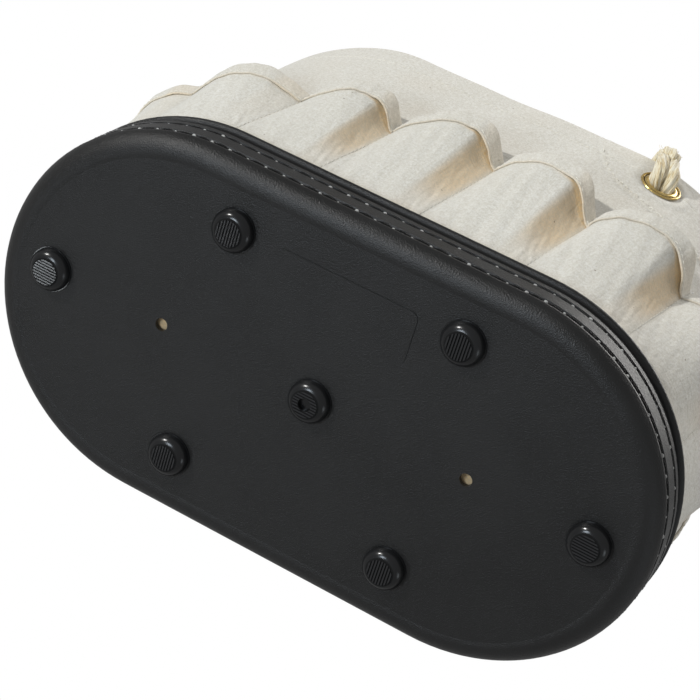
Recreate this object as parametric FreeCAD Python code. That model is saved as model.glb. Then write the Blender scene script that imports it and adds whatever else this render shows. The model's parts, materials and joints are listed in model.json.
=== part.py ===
"""Oval canvas tool bucket with outside pockets, a moulded pan and a rope handle.

Row frame in millimetres: X runs along the long side, -Y is the front, +Z points up
to the mouth. The origin is under the middle of the bucket, on the feet.
"""
import FreeCAD, Part
import math
import os

V = FreeCAD.Vector
UP = V(0, 0, 1)

# ---- driving dimensions: moulded pan ---------------------------------------
FOOT_H = 8.0            # the feet lift the pan this far
PAN_HALF_W = 117.0      # outer half width over the stitched band
PAN_CENTRE = 101.0      # the round ends are centred at x = +-PAN_CENTRE
PAN_H = 44.0            # underside to top bead
PAN_FLOOR_T = 3.0
PAN_INNER_R = 112.4
EDGE_RUN = 15.0         # how far the rounded bottom edge reaches inwards
EDGE_RISE = 8.6
GROOVE_DEPTH = 1.9      # the two stitching grooves
CHANNEL_DEPTH = 3.0     # the wide groove under the top bead
BEAD_R = 2.2
DRAIN_X = 102.9
DRAIN_R = 4.0
PANEL_SIZE = (92.0, 34.0)       # plain raised field on the underside
PANEL_Y = -64.0
PANEL_H = 0.4
PANEL_CORNER = 5.0

# ---- driving dimensions: feet ----------------------------------------------
FOOT_BASE_R = 14.0
FOOT_FACE_R = 8.25
FOOT_STEM_R = 4.0
FOOT_RIB_H = 0.6
FOOT_RIB_PITCH = 1.8
FOOT_RIB_W = 0.95
FOOT_HOLE_R = 4.2
FOOT_HOLE_DEPTH = 3.0
FOOT_PLACES = {
    "foot_left": (-181.7, 0.0, 0.0),
    "foot_right": (181.7, 0.0, 0.0),
    "foot_centre": (0.0, 0.0, 0.0),
    "foot_front_left": (-75.1, -77.5, 90.0),
    "foot_front_right": (75.1, -77.5, 90.0),
    "foot_back_left": (-75.1, 77.5, 90.0),
    "foot_back_right": (75.1, 77.5, 90.0),
}

# ---- driving dimensions: sewing through the pan ----------------------------
THREAD_D = 1.6
STITCH_LEN = 8.6
STITCHES_PER_ROW = 94
STITCH_ROWS = {"pan_stitches_lower": 19.9, "pan_stitches_upper": 32.9}

# ---- driving dimensions: canvas wall ---------------------------------------
RIM_Z = 262.0
WALL_T = 1.8
WALL_R = 110.9          # outer half width where the wall stands in the pan
RIM_R = 125.0           # outer half width at the rim: the sides bow out
RIM_CENTRE = 77.5       # and the round ends draw in, so the canvas keeps its length
HEM_DEPTH = 28.0        # the rim is folded in over this height
HEM_T = 3.8
FLOOR_T = 3.0           # two layers of canvas on the pan floor

# ---- driving dimensions: outside pockets -----------------------------------
POCKETS = 16
# Seams of the front pockets, as shares of the way round from the front middle.
# The other seams are evenly spaced over the rest of the wall.
FRONT_SEAMS = (-0.0945, -0.0416, 0.0187, 0.0820, 0.1451)
POCKET_TOP_Z = 158.0
POCKET_T = 1.3
POCKET_BULGE = 21.0
SEAM_GAP = 1.6          # each pocket's edge stops this far from its seam
WALL_GAP = 0.3
# height over the pan, and share of the full bulge there
POCKET_SECTIONS = ((0.4, 0.18), (28.0, 0.46), (68.0, 0.82), (106.0, 1.0))
TACK = (7.0, 4.6, 0.8)  # bar tack at the top of each seam: along, up, out

# ---- driving dimensions: grommets and rope ---------------------------------
GROMMET_SHARE = 0.0921  # share of the way round; the other one is half a turn on
GROMMET_Z = 233.0
GROMMET_HOLE_R = 8.3
GROMMET_BARREL_T = 0.8
GROMMET_FLANGE_R = 14.0
GROMMET_FLANGE_T = 1.3
WASHER_R = 13.5
WASHER_T = 1.0
ROPE_D = 9.5
EYE_ROPE_D = 8.0        # the rope pulled thin through the grommet
EYE_SIDE = 4.1          # the eye's two strands lie this far either side of its middle
EYE_HALF_SPAN = 10.5    # half the distance between a strand's two runs
EYE_SHIFT = 2.6         # the eye hangs this far outwards of the hem's middle
EYE_DROP = 9.5          # centre of the lower half ring, above the grommet's centre
EYE_SEAT = 3.0          # centre of the upper half ring, below the rim
EYE_LEAN = 17.0         # degrees that the eye leans towards the other grommet
KNOB_R = 7.5
KNOB_GAP = 0.25

# Handle route at rest, hanging into the bucket from the front throat to the back one:
# share of the way from the middle to a throat, then across towards +X +Y, then up.
HANDLE_ROUTE = (
    (-1.0, 0.0, 0.0),
    (-0.90, 0.8, -24.0),
    (-0.72, 2.2, -61.0),
    (-0.46, 3.0, -97.0),
    (-0.15, 2.0, -119.0),
    (0.17, -0.5, -119.5),
    (0.47, -2.2, -96.0),
    (0.73, -2.0, -59.5),
    (0.905, -0.6, -23.0),
    (1.0, 0.0, 0.0),
)
MIN_BEND_DIAMETERS = 5.0

PAN_TOP_Z = FOOT_H + PAN_H
PAN_INNER_Z = FOOT_H + PAN_FLOOR_T


# ---- shapes shared by several pieces ----------------------------------------
def stadium_wire(centre, radius, z):
    """Closed outline of two half circles joined by straight sides."""
    front = [V(-centre, -radius, z), V(centre, -radius, z)]
    back = [V(centre, radius, z), V(-centre, radius, z)]
    edges = [
        Part.makeLine(*front),
        Part.Arc(front[1], V(centre + radius, 0, z), back[0]).toShape(),
        Part.makeLine(*back),
        Part.Arc(back[1], V(-centre - radius, 0, z), front[0]).toShape(),
    ]
    return Part.Wire(edges)


def stadium_plate(centre, radius, z0, z1):
    """Flat plate with the stadium outline."""
    return Part.Face(stadium_wire(centre, radius, z0)).extrude(V(0, 0, z1 - z0))


def stadium_loft(sections):
    """Closed solid through stadium outlines given as (centre, radius, z)."""
    wires = [stadium_wire(*section) for section in sections]
    return Part.makeLoft(wires, True, True)


def swept_ring(edges_in_rz, centre):
    """Sweep a closed section, drawn as (radius, 0, z), round the stadium."""
    section = Part.Face(Part.Wire(edges_in_rz))
    turn = [(V(centre, 0, 0), -90.0), (V(-centre, 0, 0), 90.0)]
    pieces = []
    for origin, start in turn:
        placed = section.copy()
        placed.rotate(V(0, 0, 0), UP, start)
        placed.translate(origin)
        pieces.append(placed.revolve(origin, UP, 180.0))
        pieces.append(placed.extrude(origin * -2.0))
    return pieces[0].fuse(pieces[1:]).removeSplitter()


def chain(points):
    """Straight edges through points, leaving out steps of no length."""
    return [Part.makeLine(a, b) for a, b in zip(points, points[1:]) if (b - a).Length > 1e-6]


def stadium_point(distance, centre, radius):
    """Point and outward normal at a distance along a stadium from the front middle."""
    half, round_end = centre, math.pi * radius
    total = 4.0 * half + 2.0 * round_end
    s = distance % total
    if s <= half:
        return V(s, -radius, 0), V(0, -1, 0)
    if s <= half + round_end:
        angle = (s - half) / radius - math.pi / 2.0
        normal = V(math.cos(angle), math.sin(angle), 0)
        return V(centre, 0, 0) + normal * radius, normal
    if s <= 3.0 * half + round_end:
        return V(2.0 * half + round_end - s, radius, 0), V(0, 1, 0)
    if s <= 3.0 * half + 2.0 * round_end:
        angle = (s - 3.0 * half - round_end) / radius + math.pi / 2.0
        normal = V(math.cos(angle), math.sin(angle), 0)
        return V(-centre, 0, 0) + normal * radius, normal
    return V(s - total, -radius, 0), V(0, -1, 0)


def wall_size(z):
    """Centre offset and outer radius of the canvas wall at a height."""
    share = max(0.0, (z - PAN_TOP_Z) / (RIM_Z - PAN_TOP_Z))
    centre = PAN_CENTRE + (RIM_CENTRE - PAN_CENTRE) * share
    radius = WALL_R + (RIM_R - WALL_R) * share
    return centre, radius


def wall_point(fraction, z, off):
    """Point at a share of the way round the wall, off its outer face, and the normal."""
    centre, radius = wall_size(z)
    around = 4.0 * centre + 2.0 * math.pi * radius
    place, normal = stadium_point(fraction * around, centre, radius)
    return place + normal * off + V(0, 0, z), normal


# ---- moulded pan and its feet ------------------------------------------------
def pan_section():
    """Closed (radius, 0, z) section of the pan, from its middle to the bead."""
    r, z0 = PAN_HALF_W, FOOT_H
    groove, channel = r - GROOVE_DEPTH, r - CHANNEL_DEPTH
    lip_z, top = z0 + EDGE_RISE, PAN_TOP_Z
    start = V(r - EDGE_RUN, 0, z0)
    middle = V(r - 0.28 * EDGE_RUN, 0, z0 + 0.27 * EDGE_RISE)
    end = V(r, 0, lip_z)
    steps = [
        (r, lip_z + 1.1),
        (groove, lip_z + 1.9), (groove, lip_z + 4.4), (r, lip_z + 5.2),
        (r, z0 + 23.4),
        (groove, z0 + 24.0), (groove, z0 + 26.0), (r, z0 + 26.6),
        (r, z0 + 30.0),
        (channel, z0 + 31.0), (channel, top - 2.0 * BEAD_R - 0.8), (r - 1.2, top - 2.0 * BEAD_R),
        (r - BEAD_R, top - 2.0 * BEAD_R),
    ]
    outer = [end] + [V(a, 0, b) for a, b in steps]
    bead_top = V(r - BEAD_R, 0, top)
    bead = Part.Arc(outer[-1], V(r, 0, top - BEAD_R), bead_top).toShape()
    inner = [
        bead_top, V(PAN_INNER_R + 0.6, 0, top), V(PAN_INNER_R, 0, top - 0.8),
        V(PAN_INNER_R, 0, PAN_INNER_Z), V(0, 0, PAN_INNER_Z), V(0, 0, z0), start,
    ]
    edge = Part.Arc(start, middle, end).toShape()
    return [edge] + chain(outer) + [bead] + chain(inner)


def plain_panel():
    """Raised field with rounded corners on the pan's underside."""
    length, width = PANEL_SIZE
    box = Part.makeBox(length, width, PANEL_H + 0.2, V(-length / 2, PANEL_Y - width / 2, FOOT_H - PANEL_H))
    upright = [e for e in box.Edges if abs(e.tangentAt(e.FirstParameter).z) > 0.9]
    return box.makeFillet(PANEL_CORNER, upright)


def base_pan():
    """The moulded pan, with holes for the feet's stems and two drains."""
    pan = swept_ring(pan_section(), PAN_CENTRE).fuse(plain_panel()).removeSplitter()
    holes = [(x, y, FOOT_STEM_R) for x, y, _ in FOOT_PLACES.values()]
    holes += [(side * DRAIN_X, 0.0, DRAIN_R) for side in (-1, 1)]
    depth = PAN_FLOOR_T + 2.0
    for x, y, radius in holes:
        pan = pan.cut(Part.makeCylinder(radius, depth, V(x, y, FOOT_H - 1.0)))
    return pan


def foot_body():
    """Domed foot with a flat tread and a stem pressed into the pan."""
    tread = FOOT_RIB_H
    dome = Part.Arc(
        V(FOOT_FACE_R, 0, tread), V(0.86 * FOOT_BASE_R, 0, 0.36 * FOOT_H), V(FOOT_BASE_R - 0.6, 0, FOOT_H - 0.9)
    )
    outline = chain([
        V(FOOT_BASE_R - 0.6, 0, FOOT_H - 0.9), V(FOOT_BASE_R, 0, FOOT_H - 0.9), V(FOOT_BASE_R, 0, FOOT_H),
        V(FOOT_STEM_R, 0, FOOT_H), V(FOOT_STEM_R, 0, PAN_INNER_Z - 0.1), V(0, 0, PAN_INNER_Z - 0.1),
        V(0, 0, tread), V(FOOT_FACE_R, 0, tread),
    ])
    section = Part.Face(Part.Wire([dome.toShape()] + outline))
    return section.revolve(V(0, 0, 0), UP, 360.0)


def foot_ribs():
    """Parallel ribs across the tread, cut to its circle."""
    count = int(FOOT_FACE_R / FOOT_RIB_PITCH)
    ribs = []
    for i in range(-count, count + 1):
        y = i * FOOT_RIB_PITCH
        corner = V(-FOOT_FACE_R, y - FOOT_RIB_W / 2, 0)
        ribs.append(Part.makeBox(2 * FOOT_FACE_R, FOOT_RIB_W, FOOT_RIB_H + 0.1, corner))
    tread = Part.makeCylinder(FOOT_FACE_R - 0.2, FOOT_RIB_H + 0.1)
    return ribs[0].fuse(ribs[1:]).common(tread)


def foot(name):
    """One foot at its place; the middle one has a round recess."""
    x, y, turn = FOOT_PLACES[name]
    shape = foot_body().fuse(foot_ribs()).removeSplitter()
    if name == "foot_centre":
        shape = shape.cut(Part.makeCylinder(FOOT_HOLE_R, FOOT_HOLE_DEPTH))
    shape.rotate(V(0, 0, 0), UP, turn)
    shape.translate(V(x, y, 0))
    return shape


def pan_stitches(z):
    """One row of threads lying in a groove of the pan."""
    radius = PAN_HALF_W - GROOVE_DEPTH + THREAD_D / 2 + 0.05
    around = 4 * PAN_CENTRE + 2 * math.pi * radius
    threads = []
    for i in range(STITCHES_PER_ROW):
        middle, normal = stadium_point((i + 0.5) * around / STITCHES_PER_ROW, PAN_CENTRE, radius)
        along = normal.cross(UP)
        start = middle - along * (STITCH_LEN / 2) + V(0, 0, z)
        threads.append(Part.makeCylinder(THREAD_D / 2, STITCH_LEN, start, along))
    return Part.makeCompound(threads)


# ---- canvas -------------------------------------------------------------------
def wall_axes(fraction, z):
    """Place on the wall's outer face, with the axes out of the wall and up along it."""
    step = 5.0
    face, normal = wall_point(fraction, z, 0)
    along = normal.cross(UP)
    up = wall_point(fraction, z + step, 0)[0] - wall_point(fraction, z - step, 0)[0]
    up -= along * up.dot(along)
    up.normalize()
    return face, up.cross(along), up


def grommet_frames():
    """Middle of the hem at each grommet, with outward and upward axes."""
    frames = {}
    for name, fraction in (("front", GROMMET_SHARE), ("back", GROMMET_SHARE + 0.5)):
        face, out, up = wall_axes(fraction, GROMMET_Z)
        frames[name] = (face - out * (HEM_T / 2), out, up)
    return frames


def canvas_walls():
    """The wall's front and back panels, sewn at the ends, doubled at the rim, with a grommet hole each."""
    foot_z = PAN_INNER_Z + 0.2
    hem_z = RIM_Z - HEM_DEPTH
    outer = [(PAN_CENTRE, WALL_R, foot_z), (PAN_CENTRE, WALL_R, PAN_TOP_Z), (RIM_CENTRE, RIM_R, RIM_Z)]
    inner = [(c, r - WALL_T, z) for c, r, z in outer]
    wall = stadium_loft(outer).cut(stadium_loft(inner))
    low_c, low_r = wall_size(hem_z)
    band = stadium_loft([(low_c, low_r - WALL_T / 2, hem_z), (RIM_CENTRE, RIM_R - WALL_T / 2, RIM_Z)])
    hollow = stadium_loft([(low_c, low_r - HEM_T, hem_z), (RIM_CENTRE, RIM_R - HEM_T, RIM_Z)])
    wall = wall.fuse(band.cut(hollow)).removeSplitter()
    for middle, out, _ in grommet_frames().values():
        radius = GROMMET_HOLE_R + GROMMET_BARREL_T + 0.1
        wall = wall.cut(Part.makeCylinder(radius, 4 * HEM_T, middle - out * (2 * HEM_T), out))
        seat = middle - out * (3 * HEM_T)
        wall = wall.cut(Part.makeCylinder(WASHER_R + 0.3, 2.5 * HEM_T, seat, out))
    reach = PAN_CENTRE + RIM_R
    half = Part.makeBox(2 * reach, reach, RIM_Z + 1.0, V(-reach, -reach, 0))
    return {"canvas_wall_front": wall.common(half), "canvas_wall_back": wall.cut(half)}


def canvas_floor():
    """Two layers of canvas on the pan floor, inside the wall."""
    return stadium_plate(PAN_CENTRE, WALL_R - WALL_T - 0.2, PAN_INNER_Z, PAN_INNER_Z + FLOOR_T)


def seam_fraction(index):
    """Where a pocket seam stands, as a share of the way round the wall."""
    last = len(FRONT_SEAMS) - 1
    if index <= last:
        return FRONT_SEAMS[index]
    rest = 1.0 - (FRONT_SEAMS[-1] - FRONT_SEAMS[0])
    return FRONT_SEAMS[-1] + rest * (index - last) / (POCKETS - last)


def pocket_outline(index, z, bulge):
    """Closed crescent between two seams at one height."""
    centre, radius = wall_size(z)
    edge = SEAM_GAP / (4 * centre + 2 * math.pi * radius)
    left, right = seam_fraction(index) + edge, seam_fraction(index + 1) - edge
    places = (left, (left + right) / 2, right)
    inner = [wall_point(p, z, off)[0] for p, off in zip(places, (WALL_GAP, bulge - POCKET_T, WALL_GAP))]
    near = WALL_GAP + POCKET_T
    outer = [wall_point(p, z, off)[0] for p, off in zip(places, (near, bulge, near))]
    return Part.Wire([
        Part.Arc(*outer).toShape(), Part.makeLine(outer[2], inner[2]),
        Part.Arc(*reversed(inner)).toShape(), Part.makeLine(inner[0], outer[0]),
    ])


def pocket(index):
    """One bulging pocket, flat against the wall at its seams and foot."""
    wires = [pocket_outline(index, PAN_TOP_Z + up, POCKET_BULGE * share) for up, share in POCKET_SECTIONS]
    return Part.makeLoft(wires, True, True)


def bar_tacks():
    """Sewn bars on the wall at the top of each pocket seam."""
    along, up, out = TACK
    bars = []
    for index in range(POCKETS):
        face, outward, upward = wall_axes(seam_fraction(index), POCKET_TOP_Z + 0.6)
        side = upward.cross(outward)
        low = face + outward * WALL_GAP
        corners = [low - side * (along / 2), low + side * (along / 2)]
        corners += [corners[1] + upward * up, corners[0] + upward * up, corners[0]]
        bars.append(Part.Face(Part.makePolygon(corners)).extrude(outward * out))
    return Part.makeCompound(bars)


# ---- grommets and rope ----------------------------------------------------------
def tube(inner, outer, length, start, axis):
    """Straight tube along an axis."""
    return Part.makeCylinder(outer, length, start, axis).cut(Part.makeCylinder(inner, length, start, axis))


def grommet(middle, out):
    """Brass grommet: a rounded outer flange and the barrel through the hem."""
    face = middle + out * (HEM_T / 2 + 0.05)
    flange = tube(GROMMET_HOLE_R, GROMMET_FLANGE_R, GROMMET_FLANGE_T, face, out)
    whole_turn = 2 * math.pi * GROMMET_FLANGE_R
    rims = [e for e in flange.Edges if abs(e.Length - whole_turn) < 0.01]
    outer_rim = max(rims, key=lambda e: e.CenterOfMass.dot(out))
    flange = flange.makeFillet(0.55 * GROMMET_FLANGE_T, [outer_rim])
    back = middle - out * (HEM_T / 2 + WASHER_T + 0.4)
    barrel = tube(GROMMET_HOLE_R, GROMMET_HOLE_R + GROMMET_BARREL_T, (face - back).Length + 0.1, back, out)
    return flange.fuse(barrel).removeSplitter()


def washer(middle, out):
    """Brass washer that the barrel is set over on the inside."""
    back = middle - out * (HEM_T / 2 + WASHER_T + 0.1)
    return tube(GROMMET_HOLE_R + GROMMET_BARREL_T + 0.05, WASHER_R, WASHER_T, back, out)


def rope_loop(low, high, out, across):
    """Closed loop of rope round the rim: two straight runs and two half rings."""
    radius = EYE_ROPE_D / 2
    up = (high - low) * (1.0 / (high - low).Length)
    runs = [Part.makeCylinder(radius, (high - low).Length, low + out * (s * EYE_HALF_SPAN), up) for s in (-1, 1)]
    section = Part.Face(Part.Wire(Part.makeCircle(radius, low + out * EYE_HALF_SPAN, up)))
    bottom = section.revolve(low, across, 180.0)
    section.translate(high - low)
    top = section.revolve(high, across * -1.0, 180.0)
    return runs[0].fuse([runs[1], bottom, top]).removeSplitter()


def eye_axes(out, up):
    """Directions across an eye and along it, to the rim, as it leans."""
    across = up.cross(out)
    lean = math.radians(EYE_LEAN)
    return across * math.cos(lean) + up * math.sin(lean), up * math.cos(lean) - across * math.sin(lean)


def rope_eye(middle, out, up):
    """The eye's two strands side by side, through the grommet and over the rim."""
    across, along = eye_axes(out, up)
    low = middle + out * EYE_SHIFT + along * EYE_DROP
    high = middle + out * EYE_SHIFT + along * ((RIM_Z - GROMMET_Z) / along.z - EYE_SEAT)
    loops = [rope_loop(low + across * (s * EYE_SIDE), high + across * (s * EYE_SIDE), out, across) for s in (-1, 1)]
    return Part.makeCompound(loops)


def throat(middle, out, up):
    """Centre of the splice knob that sits inside the rim, against the eye's inner runs."""
    along = eye_axes(out, up)[1]
    inwards = EYE_HALF_SPAN - EYE_SHIFT + EYE_ROPE_D / 2 + KNOB_GAP + KNOB_R
    return middle - out * inwards + along * ((RIM_Z - GROMMET_Z) / along.z)


def handle_points():
    """The handle's route in the row frame."""
    frames = grommet_frames()
    front, back = (throat(*frames[name]) for name in ("front", "back"))
    centre, along = (front + back) * 0.5, (back - front) * 0.5
    across = along.cross(UP)
    across.normalize()
    return [centre + along * a + across * b + UP * c for a, b, c in HANDLE_ROUTE]


def rope_tube(points, diameter):
    """Straight runs joined by the largest tangent arcs that they allow."""
    edges, radii, here = [], [], points[0]
    for before, corner, after in zip(points, points[1:], points[2:]):
        run_in, run_out = corner - before, after - corner
        shorter = min(run_in.Length, run_out.Length)
        half_turn = run_in.getAngle(run_out) / 2
        trim = 0.45 * shorter
        radius = trim / math.tan(half_turn)
        radii.append(radius)
        way_in, way_out = run_in / run_in.Length, run_out / run_out.Length
        enter, leave = corner - way_in * trim, corner + way_out * trim
        inward = way_out - way_in
        inward.normalize()
        middle = corner + inward * (radius / math.cos(half_turn) - radius)
        edges += [Part.makeLine(here, enter), Part.Arc(enter, middle, leave).toShape()]
        here = leave
    edges.append(Part.makeLine(here, points[-1]))
    path = Part.Wire(edges)
    ring = Part.Wire(Part.makeCircle(diameter / 2, points[0], points[1] - points[0]))
    return path.makePipeShell([ring], True, False), path.Length, radii


def knob(centre, towards):
    """Spliced throat of the handle: a ball with a socket that the rope's end fills."""
    rope_r = ROPE_D / 2
    mouth = math.sqrt(KNOB_R ** 2 - rope_r ** 2)
    far, side, lip = V(0, 0, -KNOB_R), V(KNOB_R, 0, 0), V(rope_r, 0, mouth)
    outline = chain([lip, V(rope_r, 0, 0), V(0, 0, 0), far])
    section = Part.Face(Part.Wire([Part.Arc(far, side, lip).toShape()] + outline))
    ball = section.revolve(V(0, 0, 0), UP, 360.0)
    turn = FreeCAD.Rotation(UP, towards - centre)
    return ball.transformed(FreeCAD.Placement(centre, turn).toMatrix())


# ---- the whole bucket ----------------------------------------------------------
def handle():
    """The rope arch and the two splices at its ends."""
    points = handle_points()
    rope, length, radii = rope_tube(points, ROPE_D)
    section = math.pi * ROPE_D ** 2 / 4
    print("rope length", round(length, 1), "volume ratio", round(rope.Volume / (section * length), 4))
    print("bend radii", [round(r, 1) for r in radii], "least", MIN_BEND_DIAMETERS * ROPE_D)
    print("throats", [tuple(round(c, 3) for c in p) for p in (points[0], points[-1])])
    print("route", [tuple(round(c, 1) for c in p) for p in points])
    return {
        "rope_handle": rope,
        "rope_splice_front": knob(points[0], points[1]),
        "rope_splice_back": knob(points[-1], points[-2]),
    }


def build():
    """Every piece of the bucket, by name."""
    nodes = {"base_pan": base_pan(), "canvas_floor": canvas_floor()}
    nodes.update(canvas_walls())
    nodes.update({name: foot(name) for name in FOOT_PLACES})
    nodes.update({name: pan_stitches(z) for name, z in STITCH_ROWS.items()})
    nodes.update({f"outer_pocket_{i + 1:02d}": pocket(i) for i in range(POCKETS)})
    nodes["pocket_bar_tacks"] = bar_tacks()
    for side, (middle, out, up) in grommet_frames().items():
        nodes[f"grommet_{side}"] = grommet(middle, out)
        nodes[f"grommet_washer_{side}"] = washer(middle, out)
        nodes[f"rope_eye_{side}"] = rope_eye(middle, out, up)
    nodes.update(handle())
    return nodes


os.makedirs("parts", exist_ok=True)
for node, shape in build().items():
    if not shape.isValid():
        print("not valid:", node)
    shape.exportStep(f"parts/{node}.step")
    box = shape.BoundBox
    print(f"{node}: {len(shape.Solids)} solids, {shape.Volume / 1000:.1f} cm3, z {box.ZMin:.1f} to {box.ZMax:.1f}")
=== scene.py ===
"""Looks of the oval canvas tool bucket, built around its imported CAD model.

All lengths are metres in the model's own frame: X runs along the long side, -Y is the
front, +Z points up to the mouth, and the feet stand on z = 0.
"""
import json
import math
import random

import bpy
import numpy as np
from mathutils import Matrix, Vector, noise


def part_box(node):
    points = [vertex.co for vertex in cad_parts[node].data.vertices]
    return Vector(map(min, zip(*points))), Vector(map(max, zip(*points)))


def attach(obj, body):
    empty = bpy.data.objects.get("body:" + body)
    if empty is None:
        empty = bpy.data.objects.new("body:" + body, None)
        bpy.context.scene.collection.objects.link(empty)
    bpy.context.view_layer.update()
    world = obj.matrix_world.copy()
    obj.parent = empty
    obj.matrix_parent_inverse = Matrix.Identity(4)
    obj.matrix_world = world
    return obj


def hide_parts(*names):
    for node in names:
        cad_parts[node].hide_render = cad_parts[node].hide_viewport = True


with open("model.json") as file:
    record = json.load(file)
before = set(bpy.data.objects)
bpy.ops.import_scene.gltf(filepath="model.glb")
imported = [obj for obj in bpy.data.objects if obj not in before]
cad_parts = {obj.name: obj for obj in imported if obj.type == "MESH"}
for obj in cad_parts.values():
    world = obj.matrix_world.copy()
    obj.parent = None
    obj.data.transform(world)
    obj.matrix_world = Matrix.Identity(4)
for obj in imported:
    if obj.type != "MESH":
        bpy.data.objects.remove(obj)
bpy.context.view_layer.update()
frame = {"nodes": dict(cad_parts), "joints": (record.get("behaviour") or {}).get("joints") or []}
TURN = 2 * math.pi

# ---- driving dimensions, as in the CAD model ----
PAN_HALF_W = 0.117
PAN_CENTRE = 0.101
PAN_TOP_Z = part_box("base_pan")[1].z
PAN_INNER_Z = 0.011
GROOVE_DEPTH = 0.0019
STITCHES_PER_ROW = 94
STITCH_LEN = 0.0086
STITCH_ROWS = {"pan_stitches_lower": 0.0199, "pan_stitches_upper": 0.0329}
RIM_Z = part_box("canvas_wall_front")[1].z
RIM_R = 0.125
RIM_CENTRE = 0.0775
WALL_R = 0.1109
WALL_T = 0.0018
HEM_DEPTH = 0.028
HEM_T = 0.0038
FLOOR_Z = 0.014
DRAIN_X = 0.1029
POCKETS = 16
FRONT_SEAMS = (-0.0945, -0.0416, 0.0187, 0.0820, 0.1451)
GROMMET_SHARE = 0.0921
GROMMET_Z = 0.233
GROMMET_HOLE_R = 0.0083
EYE_LEAN = math.radians(17.0)
ROPE_D = 0.0095
ROPE_LAY = 3.3            # length of one turn of the strands, in rope diameters
BUNDLE_SIDES = 66         # points round a bunch of yarns
# share of the way from the middle to a throat, then across towards +X +Y, then up
HANDLE_ROUTE = (
    (-1.0, 0.0, 0.0),
    (-0.90, 0.0008, -0.024),
    (-0.72, 0.0022, -0.061),
    (-0.46, 0.0030, -0.097),
    (-0.15, 0.0020, -0.119),
    (0.17, -0.0005, -0.1195),
    (0.47, -0.0022, -0.096),
    (0.73, -0.0020, -0.0595),
    (0.905, -0.0006, -0.023),
    (1.0, 0.0, 0.0),
)


# ---- the stadium outline and the canvas wall's surface ----
def stadium(distance, centre, radius):
    """Points and outward normals at distances along a stadium from the front middle."""
    round_end = math.pi * radius
    total = 4 * centre + 2 * round_end
    s = np.mod(distance, total)
    right = (s - centre) / radius - math.pi / 2
    left = (s - 3 * centre - round_end) / radius + math.pi / 2
    legs = [s <= centre, s <= centre + round_end, s <= 3 * centre + round_end,
            s <= 3 * centre + 2 * round_end]
    x = np.select(legs, [s, centre + np.cos(right) * radius, 2 * centre + round_end - s,
                         -centre + np.cos(left) * radius], s - total)
    y = np.select(legs, [-radius + 0 * s, np.sin(right) * radius, radius + 0 * s,
                         np.sin(left) * radius], -radius)
    nx = np.select(legs, [0 * s, np.cos(right), 0 * s, np.cos(left)], 0.0)
    ny = np.select(legs, [-1.0 + 0 * s, np.sin(right), 1.0 + 0 * s, np.sin(left)], -1.0)
    zero = 0 * x
    return np.stack([x, y, zero], -1), np.stack([nx, ny, zero], -1)


def wall_size(z):
    """Centre offset and outer radius of the canvas wall at a height."""
    share = np.clip((z - PAN_TOP_Z) / (RIM_Z - PAN_TOP_Z), 0, None)
    return PAN_CENTRE + (RIM_CENTRE - PAN_CENTRE) * share, WALL_R + (RIM_R - WALL_R) * share


def flat_wall(share, z):
    """Points on the wall's outer face before it bows, and their outward normals."""
    share, z = np.broadcast_arrays(np.asarray(share, float), np.asarray(z, float))
    centre, radius = wall_size(z)
    around = 4 * centre + TURN * radius
    points, normals = stadium(share * around, centre, radius)
    points[..., 2] = z
    return points, normals


def ripple(points, per_metre, seed):
    """Smooth noise from -1 to 1 at each point."""
    shift = Vector((seed * 7.31, seed * 3.17, seed * 5.71))
    flat = np.asarray(points, float).reshape(-1, 3)
    stretch = per_metre if hasattr(per_metre, "__len__") else (per_metre,) * 3
    a, b, c = stretch
    values = [noise.noise(Vector((x * a, y * b, z * c)) + shift) for x, y, z in flat]
    return np.array(values).reshape(np.shape(points)[:-1])


def ease(x, low, high):
    """Smooth step from 0 at low to 1 at high."""
    t = np.clip((x - low) / (high - low), 0, 1)
    return t * t * (3 - 2 * t)


def peak(x, middle, width):
    """A bell from 0 to 1 and back, highest at its middle."""
    return np.exp(-((x - middle) / width) ** 2)


def bow(share, z):
    """How far the wall's cloth stands off its plain shape."""
    points, _ = flat_wall(share, z)
    free = ease(np.asarray(z, float), PAN_TOP_Z + 0.01, 0.17)
    return free * (0.0024 * ripple(points, 8.0, 1) + 0.0011 * ripple(points, 21.0, 2))


def wall(share, z, off=0.0):
    """Points off the bowed wall's outer face, and outward normals."""
    points, normals = flat_wall(share, z)
    return points + normals * np.asarray(off + bow(share, z))[..., None], normals


def seam_share(index):
    """Where a pocket seam stands, as a share of the way round the wall."""
    last = len(FRONT_SEAMS) - 1
    if index <= last:
        return FRONT_SEAMS[index]
    rest = 1.0 - (FRONT_SEAMS[-1] - FRONT_SEAMS[0])
    return FRONT_SEAMS[-1] + rest * (index - last) / (POCKETS - last)


# ---- meshes ----
def grid_faces(rows, columns, wrap=False, keep=None):
    """Quads over a grid of points given row by row."""
    across = columns if wrap else columns - 1
    faces = []
    for r in range(rows - 1):
        for c in range(across):
            if keep is None or keep[r][c]:
                d = (c + 1) % columns
                faces.append((r * columns + c, r * columns + d, (r + 1) * columns + d, (r + 1) * columns + c))
    return faces


class Shapes:
    """Points and faces of many small shapes, gathered for one mesh. grain runs along each strand."""

    def __init__(self):
        self.points, self.faces, self.grain = [], [], []

    def add(self, points, faces, grain):
        base = len(self.points)
        self.points += [tuple(p) for p in points]
        self.faces += [tuple(base + i for i in face) for face in faces]
        self.grain += [tuple(g) for g in grain]


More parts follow.
